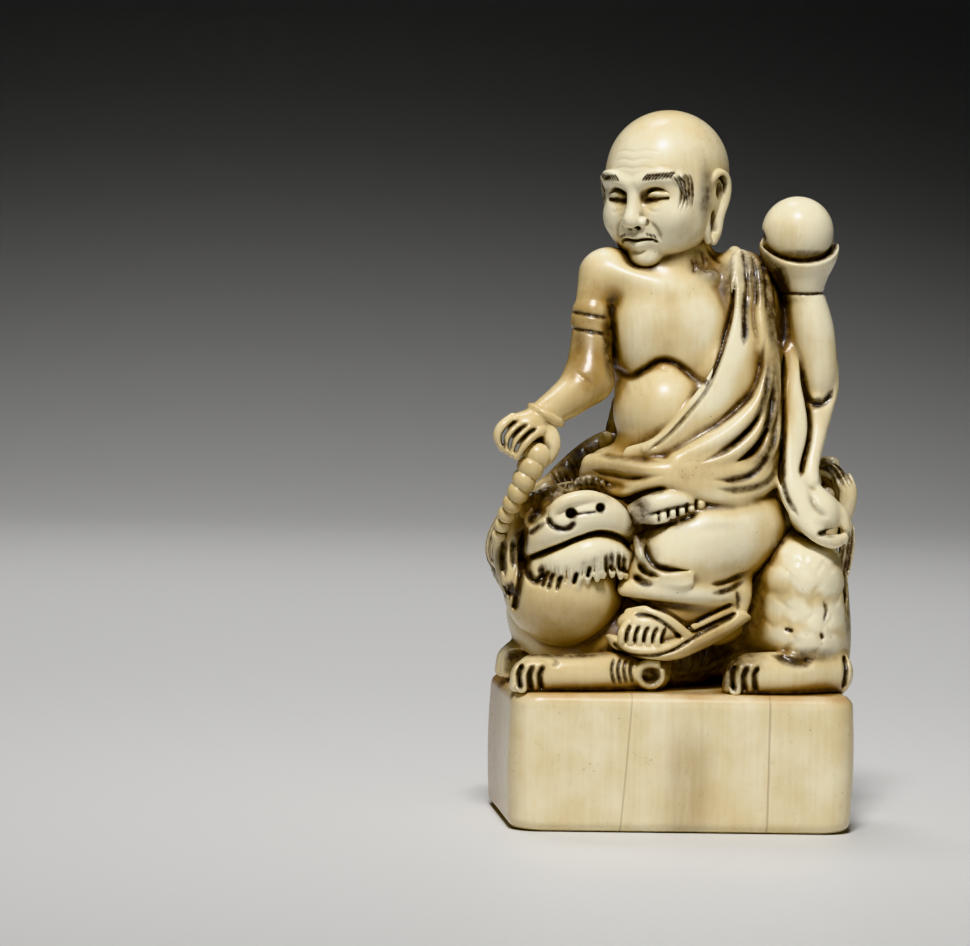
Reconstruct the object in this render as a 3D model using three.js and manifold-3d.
// Seal netsuke: a bald sage in a one-shouldered robe rides side-saddle on a crouching guardian lion.
// His raised left hand cups a round jewel and his right hand grips a twisted rope by the lion's ear.
// Figure, lion and rounded seal block are carved from a single piece, so the model is one solid.
// Millimetres, +Z up, the viewer in front at -Y. The origin is the middle of the block's underside.

import * as THREE from "three";
import { mergeVertices } from "three/addons/utils/BufferGeometryUtils.js";
import Module from "manifold-3d";

const wasm = await Module();
wasm.setup();

// Driving dimensions, in millimetres.
const blockWidth = 33.4;
const blockDepth = 24.6;
const blockHeight = 13.4;
const blockEdge = 1.1; // rounding of the top and bottom edges
const blockCorner = 2.8; // rounding of the upright corners
const blockBulge = 0.014; // how far the sides swell at mid height, as a share
const lean = 0.026; // sideways lean of the whole group above the block, as a slope towards -X
const headCentre = [-0.2, 0.2, 62.9];
const headTurn = -40; // degrees about +Z, towards the lion's head
const headNod = 11; // degrees forwards
const jewelRadius = 3.55;
const jewelCentre = [12.6, -2, 58.2];
const triangles = 9600; // facets in the finished solid

const degrees = THREE.MathUtils.degToRad;
const vec = (p) => new THREE.Vector3(p[0], p[1], p[2]);

// ---- Basic forms ----

function solidOf(geometry) {
  const bare = new THREE.BufferGeometry();
  bare.setAttribute("position", geometry.getAttribute("position"));
  bare.setIndex(geometry.index);
  const merged = mergeVertices(bare, 1e-4);
  const vertProperties = merged.attributes.position.array;
  const triVerts = new Uint32Array(merged.index.array);
  return new wasm.Manifold(new wasm.Mesh({ numProp: 3, vertProperties, triVerts }));
}

// An ellipsoid, turned by three angles in degrees.
function ball(centre, radii, turn = [0, 0, 0], sides = 12) {
  const geometry = new THREE.SphereGeometry(1, sides, Math.round(sides * 0.7));
  const spin = new THREE.Quaternion().setFromEuler(new THREE.Euler(...turn.map(degrees)));
  geometry.applyMatrix4(new THREE.Matrix4().compose(vec(centre), spin, vec(radii)));
  return solidOf(geometry);
}

// A limb or fold that follows a smooth line. Each station is x, y, z and the radius there.
// flat thins the section along the direction across.
function tube(stations, { sides = 8, steps = 6, flat = 1, across = [0, 1, 0] } = {}) {
  const line = new THREE.CatmullRomCurve3(stations.map(vec), false, "catmullrom", 0.5);
  const rings = steps + 4;
  const geometry = new THREE.SphereGeometry(1, sides, rings);
  const position = geometry.getAttribute("position");
  const span = stations.length - 1;
  for (let i = 0; i < position.count; i++) {
    const onSphere = new THREE.Vector3().fromBufferAttribute(position, i);
    const ring = rings - Math.floor(i / (sides + 1)); // 0 at the start of the line
    const t = THREE.MathUtils.clamp((ring - 2) / steps, 0, 1);
    const station = Math.min(Math.floor(t * span), span - 1);
    const radius = THREE.MathUtils.lerp(stations[station][3], stations[station + 1][3], t * span - station);
    const tangent = line.getTangent(t);
    const thin = vec(across).addScaledVector(tangent, -vec(across).dot(tangent)).normalize();
    const wide = new THREE.Vector3().crossVectors(thin, tangent);
    const fromEnd = Math.min(ring, rings - ring);
    const reach = fromEnd < 2 ? [0.8, 0.5][fromEnd] * radius * flat * (ring < 2 ? -1 : 1) : 0;
    const swell = [0, 0.75, 1][Math.min(fromEnd, 2)] * radius;
    const round = Math.hypot(onSphere.x, onSphere.z) || 1;
    const point = line.getPoint(t).addScaledVector(tangent, reach);
    point.addScaledVector(thin, (onSphere.x / round) * swell * flat);
    point.addScaledVector(wide, (onSphere.z / round) * swell);
    position.setXYZ(i, point.x, point.y, point.z);
  }
  return solidOf(geometry);
}

const join = (solids) => wasm.Manifold.union(solids);

// ---- Seal block ----

function sealBlock() {
  const halfWidth = blockWidth / 2 - blockEdge;
  const halfDepth = blockDepth / 2 - blockEdge;
  const corner = blockCorner - blockEdge;
  const plan = new THREE.Shape();
  plan.moveTo(-halfWidth + corner, -halfDepth);
  plan.lineTo(halfWidth - corner, -halfDepth);
  plan.absarc(halfWidth - corner, -halfDepth + corner, corner, -Math.PI / 2, 0);
  plan.absarc(halfWidth - corner, halfDepth - corner, corner, 0, Math.PI / 2);
  plan.absarc(-halfWidth + corner, halfDepth - corner, corner, Math.PI / 2, Math.PI);
  plan.absarc(-halfWidth + corner, -halfDepth + corner, corner, Math.PI, Math.PI * 1.5);
  const geometry = new THREE.ExtrudeGeometry(plan, {
    depth: blockHeight - 2 * blockEdge,
    steps: 4,
    curveSegments: 4,
    bevelThickness: blockEdge,
    bevelSize: blockEdge,
    bevelSegments: 3,
  });
  geometry.translate(0, 0, blockEdge);
  const position = geometry.getAttribute("position");
  for (let i = 0; i < position.count; i++) {
    const z = position.getZ(i);
    const swell = 1 + blockBulge * Math.sin((Math.PI * z) / blockHeight);
    position.setXYZ(i, position.getX(i) * swell, position.getY(i) * swell, z);
  }
  return solidOf(geometry);
}

// ---- Lion ----

const mane = { centre: [-9.6, 1.6, 26], radii: [7.2, 7.4, 7.6] };

function lionBody() {
  return [
    tube([[-9, 1.5, 20.5, 7], [0, 2.2, 20.8, 7.4], [10, 1.2, 21, 7.2]], { sides: 14, steps: 4 }),
    ball([-11.3, -4.4, 22.6], [5.9, 6, 6.4], [0, 0, 0], 18),
    ball(mane.centre, mane.radii, [0, 0, 0], 14),
    ball([11.4, -3.4, 24], [5.3, 6.6, 5.8], [0, 0, 0], 14),
    ball([11.6, -3.6, 19.6], [5.3, 6.4, 5.8], [0, 0, 0], 14),
    ball([11, 6.2, 21], [5.6, 4.8, 6.6]),
    ball([-3, -1.5, 17.5], [9, 6.6, 5]),
    ball([-4, -2.4, 28.6], [4.6, 5.4, 5.2]),
  ];
}

// A paw seen from above: a foreleg or foot with toes fanned round its end.
function paw(line, toeReach) {
  const [tx, ty, tz, r] = line[line.length - 1];
  const toes = [];
  for (let i = 0; i < 4; i++) {
    const side = (i - 1.5) / 1.5;
    const y = ty + side * r * 0.72;
    const reach = toeReach * (1 - 0.25 * side * side);
    toes.push(tube([[tx, y, tz + 0.7, 0.65], [tx - reach * 0.7, y, tz + 0.3, 0.7],
      [tx - reach, y, tz - r * 0.75, 0.5]], { sides: 6, steps: 3 }));
  }
  return [tube(line, { sides: 10, steps: 5 }), ...toes];
}

function lionLegs() {
  return [
    ...paw([[-3, -7.6, 15.8, 2.3], [-8.5, -9.3, 15.6, 2.1], [-14.6, -9.9, 15.5, 2]], 1.9),
    ...paw([[-7, 3, 17, 2.6], [-12, 2.6, 16, 2.2], [-14.7, 2.4, 15.6, 2]], 1.7),
    ...paw([[14.6, -6.6, 15.6, 2.4], [10.5, -9.1, 15.8, 2.4], [6.6, -9.6, 15.5, 2.1]], 1.9),
    ...paw([[13, 8.6, 15.6, 2.3], [9, 9.4, 15.5, 2.1], [5.5, 9.4, 15.3, 1.9]], 1.7),
    tube([[16.6, -3, 13.6, 0.7], [17, -3.4, 16, 0.8], [16.7, -3.2, 18, 0.4]], { sides: 6, steps: 3 }),
  ];
}

// The flame-shaped tuft at the elbow: a ring curl and the locks that run out of it.
function elbowTuft() {
  const locks = [0, 1, 2].map((i) => tube([[-5.2 - i * 0.7, -10.4, 17.4, 0.3],
    [-5.6 - i * 0.75, -10.9, 15.8, 0.42], [-5.2 - i * 0.7, -10.7, 14, 0.3]], { sides: 5, steps: 3 }));
  const ring = [];
  for (let i = 0; i <= 6; i++) {
    const angle = degrees(40 + i * 46);
    ring.push([-3.2 + 1.25 * Math.cos(angle), -9.9, 15.6 + 1.25 * Math.sin(angle), 0.55]);
  }
  return [...locks, tube(ring, { sides: 6, steps: 9 }), ball([-3.2, -9.3, 15.6], [0.8, 1, 0.8], [0, 0, 0], 8)];
}

function lionHead() {
  return [
    ball([-10.4, -4.2, 30.2], [6, 5.4, 3.9], [0, -14, 0], 16),
    // muzzle: a broad drooping upper lip, wide to the lower left
    tube([[-15.2, -7.6, 27.3, 1], [-13.6, -9.2, 29, 1.9], [-10.6, -9.6, 30.6, 2.4], [-7.6, -9.2, 30.7, 2.2],
      [-5.4, -7.6, 28.8, 1.2]], { sides: 10, steps: 9 }),
    // bridge and scrolled wings of the nose
    tube([[-13.2, -10.3, 30.9, 0.5], [-13, -10.6, 32, 0.7], [-11.2, -10.7, 33.2, 0.85], [-8.8, -10.4, 33.4, 0.85],
      [-7.1, -9.9, 32.8, 0.6], [-6.9, -9.8, 32, 0.4]], { sides: 7, steps: 9 }),
    // lower jaw and the beard that fringes it
    tube([[-13.6, -7.6, 26.2, 1.1], [-10.6, -9.3, 26.4, 1.9], [-7.4, -9.2, 27, 1.9], [-5, -7.4, 26.6, 1.2]],
      { sides: 8, steps: 6 }),
    ball([-14.6, -6.7, 31.3], [1.3, 1.2, 1], [0, 0, 0], 8),
    ball([-6.6, -6.8, 33.2], [1.2, 1.2, 1], [0, 0, 0], 8),
    // brow locks over the eyes
    tube([[-15.9, -6.2, 32.2, 0.5], [-14, -7.4, 33, 0.8], [-12, -7.6, 33.9, 0.7]], { sides: 6, steps: 3 }),
    tube([[-9.6, -7.4, 34.6, 0.6], [-7.4, -7.2, 34.9, 0.8], [-5.4, -6, 34, 0.5]], { sides: 6, steps: 3 }),
    // ear: a long loop that hangs down the cheek and ends in a tuft
    tube([[-15.6, -5.6, 30, 0.9], [-16.3, -5.9, 28, 0.9], [-16.4, -6, 25.8, 1.1], [-16.1, -5.8, 23.6, 0.9],
      [-15.8, -5.2, 22, 0.4]], { sides: 7, steps: 6 }),
    tube([[-16.2, -3.2, 30, 0.9], [-16.8, -3.4, 27.4, 1], [-16.5, -3.6, 24.6, 0.9], [-15.9, -3.2, 22.6, 0.4]],
      { sides: 7, steps: 5 }),
  ];
}

// Pointed locks that hang from the lower jaw.
function beard() {
  const jaw = new THREE.CatmullRomCurve3([[-13.9, -8, 26], [-11, -10.2, 25.8], [-8, -10.4, 26.6],
    [-5, -8.4, 26.6]].map(vec));
  const locks = [];
  const count = 8;
  for (let i = 0; i < count; i++) {
    const root = jaw.getPoint(i / (count - 1));
    const length = i < 2 ? 2.3 : 1.7 + 0.3 * (i % 3);
    const lean = i < 2 ? 0.9 : -0.7;
    locks.push(tube([[root.x, root.y + 0.1, root.z + 0.8, 0.7], [root.x + lean * 0.3, root.y, root.z - length * 0.5, 0.75],
      [root.x + lean, root.y + 0.2, root.z - length, 0.3]], { sides: 6, steps: 3 }));
  }
  return locks;
}

// Locks combed down from the crown of the mane, over the far side and the back of the neck.
function maneLocks() {
  const locks = [];
  const count = 8;
  for (let i = 0; i < count; i++) {
    const azimuth = degrees(30 + (i * 165) / (count - 1));
    const at = (elevation, out, turn, radius) => {
      const level = Math.cos(degrees(elevation));
      return [
        mane.centre[0] + mane.radii[0] * out * level * Math.cos(azimuth + turn),
        mane.centre[1] + mane.radii[1] * out * level * Math.sin(azimuth + turn),
        mane.centre[2] + mane.radii[2] * out * Math.sin(degrees(elevation)),
        radius,
      ];
    };
    locks.push(tube([at(66, 0.93, 0, 1.1), at(36, 0.96, 0.1, 1.5), at(4, 0.97, -0.08, 1.6),
      at(i % 2 ? -26 : -12, 1, 0.12, 0.7)], { sides: 6, steps: 5 }));
  }
  // the crest stands up behind the rider's knee, notched into short locks
  locks.push(tube([[-13, 2.6, 30.4, 1.8], [-9.6, 3.8, 32.8, 2.6], [-6, 4.8, 35.6, 2.8], [-3, 5.4, 37, 2]],
    { sides: 9, steps: 6 }));
  for (let i = 0; i < 4; i++) {
    locks.push(ball([-10.6 + i * 2.1, 3.2 + i * 0.6, 34 + i * 1.35], [1.2, 1.8, 0.9], [0, -35, 0], 7));
  }
  return locks;
}

function tail() {
  const curls = [];
  for (let i = 0; i < 4; i++) {
    const z = 26 + i * 2.2;
    curls.push(tube([[14.2, 7.4 - i * 0.2, z, 0.9], [16.2, 7.6 - i * 0.3, z + 1.2, 1],
      [17.3, 6.2 - i * 0.2, z + 1.8, 0.8]], { sides: 6, steps: 3 }));
  }
  return [
    tube([[12.4, 5, 23, 2.8], [14.6, 5.6, 27.6, 3], [15.6, 5, 32, 2.8], [15, 4, 34.8, 1.6]], { sides: 9, steps: 6 }),
    ball([16.6, 2.8, 32.2], [1.5, 1.8, 1.6], [0, 0, 0], 9),
    tube([[14.6, 2.6, 35.2, 0.9], [16.4, 1.6, 34.4, 0.9], [17.6, 1, 32, 0.9], [17.5, 0.8, 29, 1],
      [17, 0.2, 25.6, 0.9], [16.6, -0.4, 22.6, 0.5]], { sides: 6, steps: 7 }),
    ball([15.2, 2, 28.4], [2.3, 3.4, 4.4], [0, 0, 0], 9),
    ...curls,
  ];
}

// ---- Rider ----

function lap() {
  return [
    ball([2.4, -0.6, 33], [8.4, 6.8, 5.6], [0, 0, 0], 14),
    ball([-4.6, -3.4, 34.2], [5, 4.9, 3.5], [0, 10, 0], 12),
    // the thigh and knee of the hanging leg, under the robe
    tube([[8, -2.4, 30.4, 4.4], [5, -5.2, 29.2, 5.2], [1, -6.8, 26.8, 4.6], [-2.4, -7.2, 25.2, 3.6]],
      { sides: 14, steps: 6 }),
    ball([1.2, -5, 24], [6.4, 4.8, 4.2]),
    // folds gathered at the inner and outer side of the calf
    ...[0, 1, 2].map((i) => tube([[-4.6 + i * 0.4, -9, 28.6 - i * 1.5, 0.5], [-3.6 + i * 0.6, -10.4, 26.6 - i, 0.7],
      [-1 + i * 0.8, -11, 25.3 - i * 0.5, 0.5]], { sides: 6, steps: 4 })),
    // the hem of the skirt and the corner that hangs behind the heel
    tube([[-5.6, -8.9, 23.6, 0.9], [-2.6, -10.2, 23.5, 1], [1.6, -10, 23, 1], [6, -7.7, 23.2, 1]],
      { sides: 7, steps: 6 }),
    tube([[5.9, -7.2, 26, 1.4], [6.2, -7.6, 22.6, 1.1], [6.2, -7.9, 20.6, 0.5]], { sides: 6, steps: 3 }),
  ];
}

// The front foot, tucked up across the lap, with its row of toes.
function tuckedFoot() {
  const toes = [];
  for (let i = 0; i < 5; i++) {
    const size = i === 0 ? 0.85 : 0.58;
    const x = i === 0 ? -3 : -2.5 + i * 1.12;
    toes.push(ball([x, -11 + i * 0.12, 30.3 + i * 0.42], [size, 0.8, 0.75], [0, -18, 0], 6));
  }
  return [ball([-1.4, -9.2, 32.2], [4.2, 2.3, 1.5], [0, -14, 0], 12), ...toes];
}

// The sandalled foot of the hanging leg, pointing down and to the left.
function sandalledFoot() {
  const toes = [];
  for (let i = 0; i < 5; i++) {
    const x = -6 + i * 0.95;
    toes.push(tube([[x + 0.5, -10.7, 20.6 - i * 0.12, 0.6], [x, -11.3, 19.4 - i * 0.16, 0.5]], { sides: 6, steps: 2 }));
  }
  return [
    ball([-3.2, -9.3, 20.9], [3.8, 2.2, 2.2], [0, -16, 0], 12),
    tube([[-1.4, -8.2, 21.6, 2.1], [2.6, -6.2, 22.2, 2.6]], { sides: 8, steps: 2 }),
    ball([2, -5.4, 19.4], [5, 3.2, 3], [0, 0, 0], 8),
    // sole
    tube([[-5.6, -9.9, 18.5, 2.1], [-2, -9.7, 18.9, 2.4], [2, -8.7, 20, 2.1], [5.2, -7.6, 21.3, 1.7]],
      { sides: 12, steps: 5, flat: 0.34, across: [0.25, 0, 1] }),
    // strap
    tube([[-5.6, -9.6, 22.8, 0.5], [-2.6, -10.9, 22.4, 0.6], [0.2, -11.2, 20.6, 0.6], [1.4, -10.8, 19.4, 0.5]],
      { sides: 6, steps: 5 }),
    ...toes,
  ];
}

function torso() {
  return [
    tube([[2.2, 0, 35, 6.8], [1.2, 0.2, 41, 6.4], [0.6, 0.6, 48, 6.6], [0.3, 1, 53.4, 4.8]],
      { sides: 14, steps: 6, flat: 0.84 }),
    ball([-0.9, -2.4, 41], [5, 5.6, 5], [0, 0, 0], 14),
    // breast muscles, which overhang the belly
    ball([-2.6, -1.7, 48.8], [3.8, 3.8, 4.8], [0, 8, 0], 14),
    ball([2.2, -1.9, 48.6], [4, 3.8, 5.2], [0, -10, 0], 14),
    // collar bones and the root of the neck
    ball([-1.6, -1.2, 53.2], [5.6, 3.2, 2.6], [0, 6, 0], 12),
    tube([[-6.2, -1.6, 55, 1], [-3.4, -3, 54.9, 0.8], [-0.8, -3.6, 53.6, 0.6]], { sides: 6, steps: 4 }),
    tube([[0.4, 0.8, 52, 4.2], [-0.2, -0.2, 58, 3.8]], { sides: 12, steps: 2 }),
    ball([-5.9, -0.4, 54], [3, 3.2, 3.1], [0, 0, 0], 12),
    ball([6.2, 0.4, 53], [3.8, 4, 4.2], [0, 0, 0], 12),
  ];
}

function ropeArm() {
  const wrist = [-13.1, -6.6, 41.2];
  const fingers = [];
  for (let i = 0; i < 4; i++) {
    const x = -17 + i * 1;
    fingers.push(tube([[x + 0.8, -8.6 - i * 0.25, 40.2 - i * 0.1, 0.62], [x - 0.4, -9.6 - i * 0.2, 38.4, 0.62],
      [x - 0.2 + i * 0.1, -9.7 - i * 0.15, 36.6 - i * 0.1, 0.5]], { sides: 6, steps: 4 }));
  }
  const bracelet = [];
  for (let i = 0; i <= 8; i++) {
    const angle = degrees(i * 45);
    const side = 1.55 * Math.cos(angle);
    const deep = 1.55 * Math.sin(angle);
    bracelet.push([wrist[0] - 0.35 * side, wrist[1] + deep, wrist[2] + 0.93 * side, 0.42]);
  }
  return [
    tube([[-6.7, -0.8, 53.6, 2.4], [-7.9, -1.8, 50, 1.9], [-8.5, -2.8, 46.6, 2.1], [-8.8, -3.4, 43.9, 2.4]],
      { sides: 10, steps: 7 }),
    tube([[-8.8, -3.4, 43.8, 2.4], [-10.8, -4.9, 42.5, 2], [...wrist, 1.4], [-14.6, -7.4, 40.2, 1.6]],
      { sides: 10, steps: 6 }),
    // armlet
    tube([[-7.6, -1.6, 50.7, 2.15], [-7.8, -1.8, 49.6, 2.25]], { sides: 10, steps: 1 }),
    tube(bracelet, { sides: 5, steps: 12 }),
    // the back and heel of the hand
    ball([-15, -7.8, 39.2], [2.1, 1.7, 1.9], [0, 25, 0], 10),
    tube([[-13.6, -7.6, 39.8, 1.1], [-12.9, -8.2, 37.8, 1], [-13.6, -8.6, 36.6, 0.7]], { sides: 7, steps: 3 }),
    ...fingers,
  ];
}

// Twisted rope: a chain of swellings that shrink towards the lion's ear.
function rope() {
  const line = new THREE.CatmullRomCurve3([[-13.9, -8.4, 37.6], [-15.1, -8.8, 35], [-16.3, -8.2, 32.8],
    [-17.1, -6.8, 30.6], [-17.6, -5.2, 28.6]].map(vec));
  const beads = [];
  const count = 8;
  for (let i = 0; i < count; i++) {
    const share = i / (count - 1);
    const centre = line.getPoint(share);
    const size = THREE.MathUtils.lerp(1.5, 0.7, share);
    beads.push(ball(centre.toArray(), [size, size, size * 0.88], [0, 32, 20], 8));
  }
  return beads;
}

// The robe hangs from the left shoulder, crosses the belly and gathers over the lap.
// A broad plain fold edges it, and narrower folds follow it round to the side.
function robe() {
  const shoulder = [[5.7, -2.7, 56], [6.6, -2.8, 56.2], [7.5, -2.6, 56.1], [8.4, -2, 55.6], [9.1, -1.2, 54.8]];
  const breast = [[5.4, -5, 50.4], [6.9, -5.2, 50], [8.2, -4.9, 49.4], [9.2, -4.2, 48.6], [10, -3.2, 47.6]];
  const side = [[3.4, -6.3, 44.4], [6.3, -6.8, 43.4], [8, -6.4, 42.2], [9.3, -5.7, 41.2], [10.2, -4.6, 40.4]];
  const hip = [[-0.8, -7.4, 39.5], [1.9, -7.9, 37.9], [4.4, -8, 36.6], [6.8, -7.6, 35.6], [8.8, -6.6, 35]];
  const lapEnd = [[-5.4, -6.4, 37.2], [-4.8, -7.3, 35.9], [-2.4, -8.2, 35], [1.2, -8.7, 34.2], [5, -8.3, 33.6]];
  const breadth = [1.7, 1.1, 1, 1, 1];
  const folds = shoulder.map((start, i) => tube([[...start, 0.8], [...breast[i], breadth[i] * 0.8],
    [...side[i], breadth[i] * 1.15], [...hip[i], breadth[i] * 1.1], [...lapEnd[i], 0.7]], { sides: 7, steps: 10 }));
  const hem = [[-8.2, -6.2, 33.6], [-5.6, -8, 33.4], [-2.2, -9, 34.3], [1.6, -9.1, 33.6], [4.8, -8.8, 32.9],
    [7.4, -7.8, 33.2], [9.6, -6, 34.2]];
  return [
    tube([[7, 0.2, 53.6, 3.6], [7, 0.2, 48, 4.6], [5.6, -0.6, 42, 6.2], [3.2, -1.2, 37, 7.4]],
      { sides: 14, steps: 6 }),
    ball([7.2, -1, 50], [3.4, 4, 6]),
    ball([5.6, -2, 43], [5.2, 5, 5.6]),
    ball([2.2, -2.6, 37], [8, 5.8, 4]),
    ...folds,
    tube(hem.map((p) => [...p, 0.85]), { sides: 7, steps: 11 }),
    // folds down the back
    ...[0, 1, 2, 3].map((i) => tube([[8 - i * 1.5, 2.8 + i * 0.3, 55.2 - i * 0.5, 0.9], [5.8 - i * 2, 5.2, 48 - i, 1.2],
      [2.4 - i * 2, 5.9 - i * 0.1, 41 - i * 0.6, 1.3], [-1.5 - i * 0.8, 5.4, 36, 0.9]], { sides: 6, steps: 6 })),
  ];
}

function jewelArm() {
  const cup = ball([12.5, -2, 56.5], [3.9, 3.7, 4.5], [0, 0, 0], 16);
  const rim = new THREE.BoxGeometry(14, 14, 8);
  rim.rotateX(degrees(34));
  rim.translate(12.5, -3.9, 61.5);
  const fingers = [0, 1, 2, 3].map((i) => tube([[10.4 + i * 1.4, 0.6, 54.6, 0.8], [10.1 + i * 1.5, 1.7, 57.4, 0.8],
    [10.3 + i * 1.4, 1.5, 60, 0.6]], { sides: 6, steps: 3 }));
  return [
    tube([[8.8, 0.6, 51, 3], [11.2, 0, 46, 2.6], [13.2, -1.4, 42.4, 2]], { sides: 10, steps: 4 }),
    tube([[13.7, -1.9, 41.4, 1.5], [13.6, -2.1, 44.6, 2.2], [13.4, -2.1, 48.4, 2.3], [13, -2, 52.4, 2.1],
      [12.8, -2, 54, 2.4]], { sides: 10, steps: 7 }),
    tube([[13.05, -2, 52.4, 2.4], [13, -2, 53, 2.45]], { sides: 12, steps: 1, across: [0, 1, 0] }),
    cup.subtract(solidOf(rim)),
    ball(jewelCentre, [jewelRadius, jewelRadius, jewelRadius], [0, 0, 0], 18),
    ...fingers,
  ];
}

// The long sleeve falls from the raised arm, crosses in front of the haunch and flares at its end.
function sleeve() {
  return [
    tube([[10.9, -1.6, 49.4, 0.8], [11.4, -3, 45, 1.2], [11.7, -4.4, 41, 1.6], [11.3, -6, 36.8, 1.7],
      [11.5, -8, 33, 1.9], [13.2, -9, 30.4, 1.7]], { sides: 9, steps: 10, flat: 0.75 }),
    tube([[15.6, -2, 44.6, 0.7], [15.3, -2.6, 41.6, 0.9], [14.2, -4.2, 38, 1.2], [13.3, -6, 34.6, 1.6],
      [14.6, -7, 31.6, 1.9], [15.9, -7.3, 29.6, 1.2]], { sides: 8, steps: 9, flat: 0.8 }),
    tube([[12, -8.6, 31, 1.1], [13.8, -9.1, 28.9, 1], [15.8, -8.6, 27.9, 0.9]], { sides: 7, steps: 4 }),
    ball([14, -7.4, 30.6], [2.6, 1.9, 2.4], [0, 20, 0], 10),
    tube([[11.6, -0.6, 44, 2.8], [11.4, -2.2, 38, 3], [12, -3.6, 33, 3]], { sides: 9, steps: 4 }),
  ];
}

// ---- Head: made facing -Y about its own centre, then turned and nodded ----

function head() {
  const forms = [
    ball([0, 0.4, 1.1], [5.9, 6.5, 6], [0, 0, 0], 22),
    ball([0, -1.5, -1.6], [5.2, 5, 5.4], [0, 0, 0], 20),
    ball([0, -2.6, -4.3], [4, 3.9, 3.3], [0, 0, 0], 16),
    // brow
    tube([[-3.9, -4.7, 0.3, 0.4], [-2.2, -5.8, 0.8, 0.5], [0, -6.1, 0.3, 0.4], [2.2, -5.8, 0.8, 0.5],
      [3.9, -4.7, 0.3, 0.4]], { sides: 6, steps: 8 }),
    // nose
    tube([[0, -6, 0.3, 0.4], [0, -6.6, -1.3, 0.55], [0, -7, -2.5, 0.8]], { sides: 8, steps: 3 }),
    // lips and chin
    tube([[-1.6, -5.9, -4.3, 0.25], [0, -6.5, -4.1, 0.4], [1.6, -5.9, -4.3, 0.25]], { sides: 6, steps: 4 }),
    tube([[-1.2, -6, -4.9, 0.25], [0, -6.4, -4.95, 0.4], [1.2, -6, -4.9, 0.25]], { sides: 6, steps: 4 }),
    ball([0, -5.2, -6.4], [1.5, 1.3, 1.1], [0, 0, 0], 9),
  ];
  for (const side of [-1, 1]) {
    forms.push(ball([side * 0.8, -6.4, -2.7], [0.55, 0.65, 0.5], [0, 0, 0], 7));
    forms.push(ball([side * 2.2, -5.35, -0.6], [1.1, 0.65, 0.5], [0, 0, 0], 9));
    // ear with a long slit lobe: the rim curls over the top and runs down into the lobe
    forms.push(tube([[side * 5, -0.9, -0.6, 0.5], [side * 5.6, -0.9, 0.9, 0.5], [side * 5.9, 0.3, 1.6, 0.6],
      [side * 6, 1.3, 0.4, 0.6], [side * 5.7, 0.9, -1.8, 0.7], [side * 5.3, 0.1, -3.6, 0.8],
      [side * 4.9, -0.3, -4.8, 0.6]], { sides: 7, steps: 11 }));
    forms.push(tube([[side * 4.9, -1.3, -2.4, 0.5], [side * 4.6, -1.3, -4.4, 0.5], [side * 4.2, -1.2, -6, 0.5]],
      { sides: 6, steps: 4 }));
    forms.push(ball([side * 5.1, 0, -0.8], [0.7, 1.2, 2.6], [0, 0, 0], 8));
    // long tuft at the outer end of the brow
    forms.push(tube([[side * 3.8, -4.8, 0.7, 0.4], [side * 4.5, -4.2, -0.8, 0.35], [side * 4.7, -3.6, -2.6, 0.2]],
      { sides: 5, steps: 4 }));
  }
  return join(forms).rotate([headNod, 0, 0]).rotate([0, 0, headTurn]).translate(headCentre);
}

// ---- Hollows cut after the forms are joined ----

function hollows() {
  const slots = [];
  // mouth of the lion, between the lip and the beard
  slots.push(tube([[-15, -9.4, 26, 0.5], [-12.6, -11.2, 27.2, 0.5], [-9.6, -11.9, 28.5, 0.5], [-6.6, -11, 28.6, 0.5],
    [-4.6, -8.8, 27.2, 0.4]], { sides: 5, steps: 7 }));
  // nostrils
  for (const x of [-11.3, -8.5]) {
    slots.push(tube([[x, -13, 31.8, 0.55], [x, -10.6, 32, 0.55]], { sides: 7, steps: 1, across: [1, 0, 0] }));
  }
  // the crease where the breast overhangs the belly
  slots.push(tube([[-6.2, -4.8, 44.7, 0.3], [-4, -7.1, 44.4, 0.45], [-1.6, -7.8, 46, 0.45], [1, -7.9, 44.9, 0.45],
    [2.6, -7.6, 43.8, 0.35]], { sides: 5, steps: 7 }));
  return join(slots);
}

// Leans the group to its right without lifting the lion's feet from the block.
function leaning(solid) {
  const shear = new THREE.Matrix4().makeShear(0, 0, 0, 0, -lean, 0);
  const geometry = geometryOf(solid).translate(0, 0, -blockHeight).applyMatrix4(shear).translate(0, 0, blockHeight);
  return solidOf(geometry);
}

function carving() {
  const forms = [...lionBody(), ...lionLegs(), ...elbowTuft(), ...lionHead(), ...beard(), ...maneLocks(),
    ...tail(), ...lap(), ...tuckedFoot(), ...sandalledFoot(), ...torso(), ...ropeArm(), ...rope(), ...robe(),
    ...jewelArm(), ...sleeve(), head()];
  return withoutCavities(sealBlock().add(leaning(join(forms).subtract(hollows()))));
}

// The carving is solid ivory: small pockets shut in between joined forms are filled.
function withoutCavities(solid) {
  const shells = solid.decompose();
  shells.sort((a, b) => b.volume() - a.volume());
  return shells[0];
}

function geometryOf(solid) {
  const mesh = solid.getMesh();
  const geometry = new THREE.BufferGeometry();
  geometry.setAttribute("position", new THREE.BufferAttribute(new Float32Array(mesh.vertProperties), 3));
  geometry.setIndex(new THREE.BufferAttribute(new Uint32Array(mesh.triVerts), 1));
  geometry.computeVertexNormals();
  return geometry;
}

// ---- Coarsening: merges the slivers left by the joins, edge by edge, smallest change of shape first ----

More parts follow.
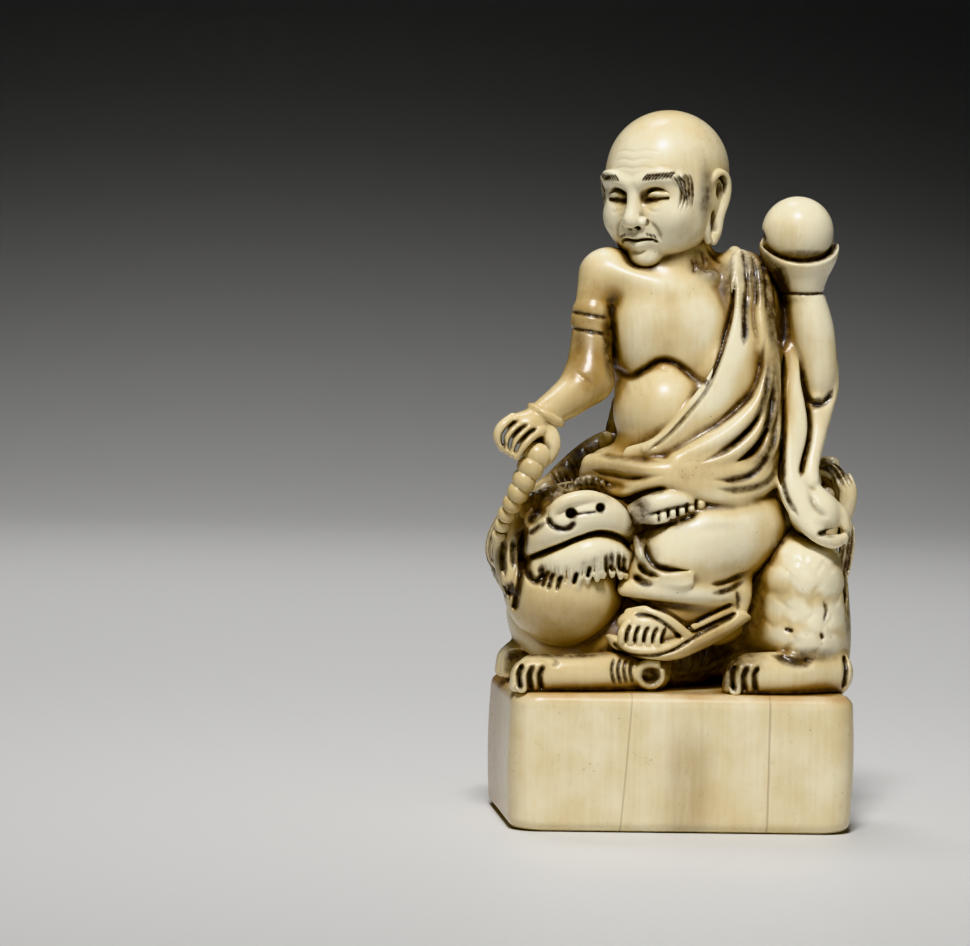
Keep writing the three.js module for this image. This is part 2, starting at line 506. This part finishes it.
function coarsen(solid, wanted) {
  const mesh = solid.getMesh();
  const at = [];
  for (let i = 0; i < mesh.vertProperties.length; i += 3) {
    at.push(new THREE.Vector3(...mesh.vertProperties.slice(i, i + 3)));
  }
  const faces = [];
  const ring = at.map(() => new Set());
  const quadric = at.map(() => new Float64Array(10));
  const cross = (p, q, r) => new THREE.Vector3().subVectors(q, p).cross(new THREE.Vector3().subVectors(r, p));
  for (let i = 0; i < mesh.triVerts.length; i += 3) {
    const face = Array.from(mesh.triVerts.slice(i, i + 3));
    face.forEach((v) => ring[v].add(faces.length));
    faces.push(face);
    const normal = cross(...face.map((v) => at[v]));
    const area = normal.length();
    if (area < 1e-9) continue;
    normal.divideScalar(area);
    const plane = [normal.x, normal.y, normal.z, -normal.dot(at[face[0]])];
    for (const v of face) {
      let k = 0;
      for (let a = 0; a < 4; a++) for (let b = a; b < 4; b++) quadric[v][k++] += area * plane[a] * plane[b];
    }
  }
  const errorAt = (q, p) => {
    const h = [p.x, p.y, p.z, 1];
    let sum = 0;
    let k = 0;
    for (let a = 0; a < 4; a++) for (let b = a; b < 4; b++) sum += q[k++] * h[a] * h[b] * (a === b ? 1 : 2);
    return sum;
  };
  const neighbours = (v) => new Set([...ring[v]].flatMap((f) => faces[f]).filter((w) => w !== v));
  const best = (v, w) => {
    const both = quadric[v].map((value, k) => value + quadric[w][k]);
    const choices = [at[v], at[w], at[v].clone().lerp(at[w], 0.5)];
    const errors = choices.map((p) => errorAt(both, p));
    const pick = errors.indexOf(Math.min(...errors));
    const length = at[v].distanceTo(at[w]);
    const cost = length < 0.06 ? -1 / (length + 1e-6) : errors[pick] + 1e-4 * length * length;
    return { v, w, point: choices[pick].clone(), both, cost };
  };
  const allowed = ({ v, w, point }) => {
    const shared = neighbours(w);
    if ([...neighbours(v)].filter((n) => shared.has(n)).length !== 2) return false;
    for (const [mine, other] of [[v, w], [w, v]]) {
      for (const f of ring[mine]) {
        if (faces[f].includes(other)) continue;
        const before = cross(...faces[f].map((n) => at[n]));
        const after = cross(...faces[f].map((n) => (n === mine ? point : at[n])));
        if (after.length() < 1e-3) return false;
        if (before.length() > 1e-4 && before.normalize().dot(after.clone().normalize()) < 0.3) return false;
      }
    }
    return true;
  };
  const stamp = at.map(() => 0);
  const heap = [];
  const push = (item) => {
    let i = heap.push(item) - 1;
    while (i > 0 && heap[(i - 1) >> 1].cost > item.cost) {
      heap[i] = heap[(i - 1) >> 1];
      i = (i - 1) >> 1;
    }
    heap[i] = item;
  };
  const pop = () => {
    const top = heap[0];
    const last = heap.pop();
    let i = 0;
    while (heap.length && 2 * i + 1 < heap.length) {
      let child = 2 * i + 1;
      if (child + 1 < heap.length && heap[child + 1].cost < heap[child].cost) child++;
      if (heap[child].cost >= last.cost) break;
      heap[i] = heap[child];
      i = child;
    }
    if (heap.length) heap[i] = last;
    return top;
  };
  const offer = (v, w) => push({ ...best(v, w), age: stamp[v] + stamp[w] });
  at.forEach((_, v) => neighbours(v).forEach((w) => v < w && offer(v, w)));
  let left = faces.length;
  while (left > wanted && heap.length) {
    const { v, w, point, both, age } = pop();
    if (!ring[v] || !ring[w] || age !== stamp[v] + stamp[w] || !allowed({ v, w, point })) continue;
    for (const f of [...ring[w]]) {
      if (faces[f].includes(v)) {
        faces[f].forEach((n) => ring[n].delete(f));
        faces[f] = null;
        left--;
      } else {
        faces[f] = faces[f].map((n) => (n === w ? v : n));
        ring[v].add(f);
      }
    }
    ring[w] = null;
    at[v] = point;
    quadric[v] = both;
    stamp[v]++;
    for (const n of neighbours(v)) offer(v, n);
  }
  const used = at.map((_, v) => v).filter((v) => ring[v] && ring[v].size);
  for (let round = 0; round < 3; round++) widen(used, at, ring, faces, cross);
  const geometry = new THREE.BufferGeometry();
  geometry.setAttribute("position", new THREE.BufferAttribute(new Float32Array(at.flatMap((p) => p.toArray())), 3));
  geometry.setIndex(faces.filter(Boolean).flat());
  return solidOf(geometry);
}

// Opens clefts finer than a hair: corners that almost touch draw back into the ivory and apart.
function widen(used, at, ring, faces, cross) {
  const sorted = [...used].sort((v, w) => at[v].x - at[w].x);
  const close = 0.02;
  sorted.forEach((v, i) => {
    for (let j = i + 1; j < sorted.length && at[sorted[j]].x - at[v].x < close; j++) {
      const w = sorted[j];
      const apart = new THREE.Vector3().subVectors(at[w], at[v]);
      if (apart.length() > close) continue;
      for (const [corner, way] of [[v, -1], [w, 1]]) {
        const normal = new THREE.Vector3();
        ring[corner].forEach((f) => normal.add(cross(...faces[f].map((n) => at[n]))));
        at[corner].addScaledVector(normal.normalize(), -0.008).addScaledVector(apart.clone().normalize(), 0.008 * way);
      }
    }
  });
}

const ivory = new THREE.MeshStandardMaterial({ color: 0xdccb9e, roughness: 0.36, metalness: 0 });
const netsuke = new THREE.Mesh(geometryOf(coarsen(carving(), triangles)), ivory);
netsuke.name = "netsuke";

const model = new THREE.Group();
model.add(netsuke);

export default model;
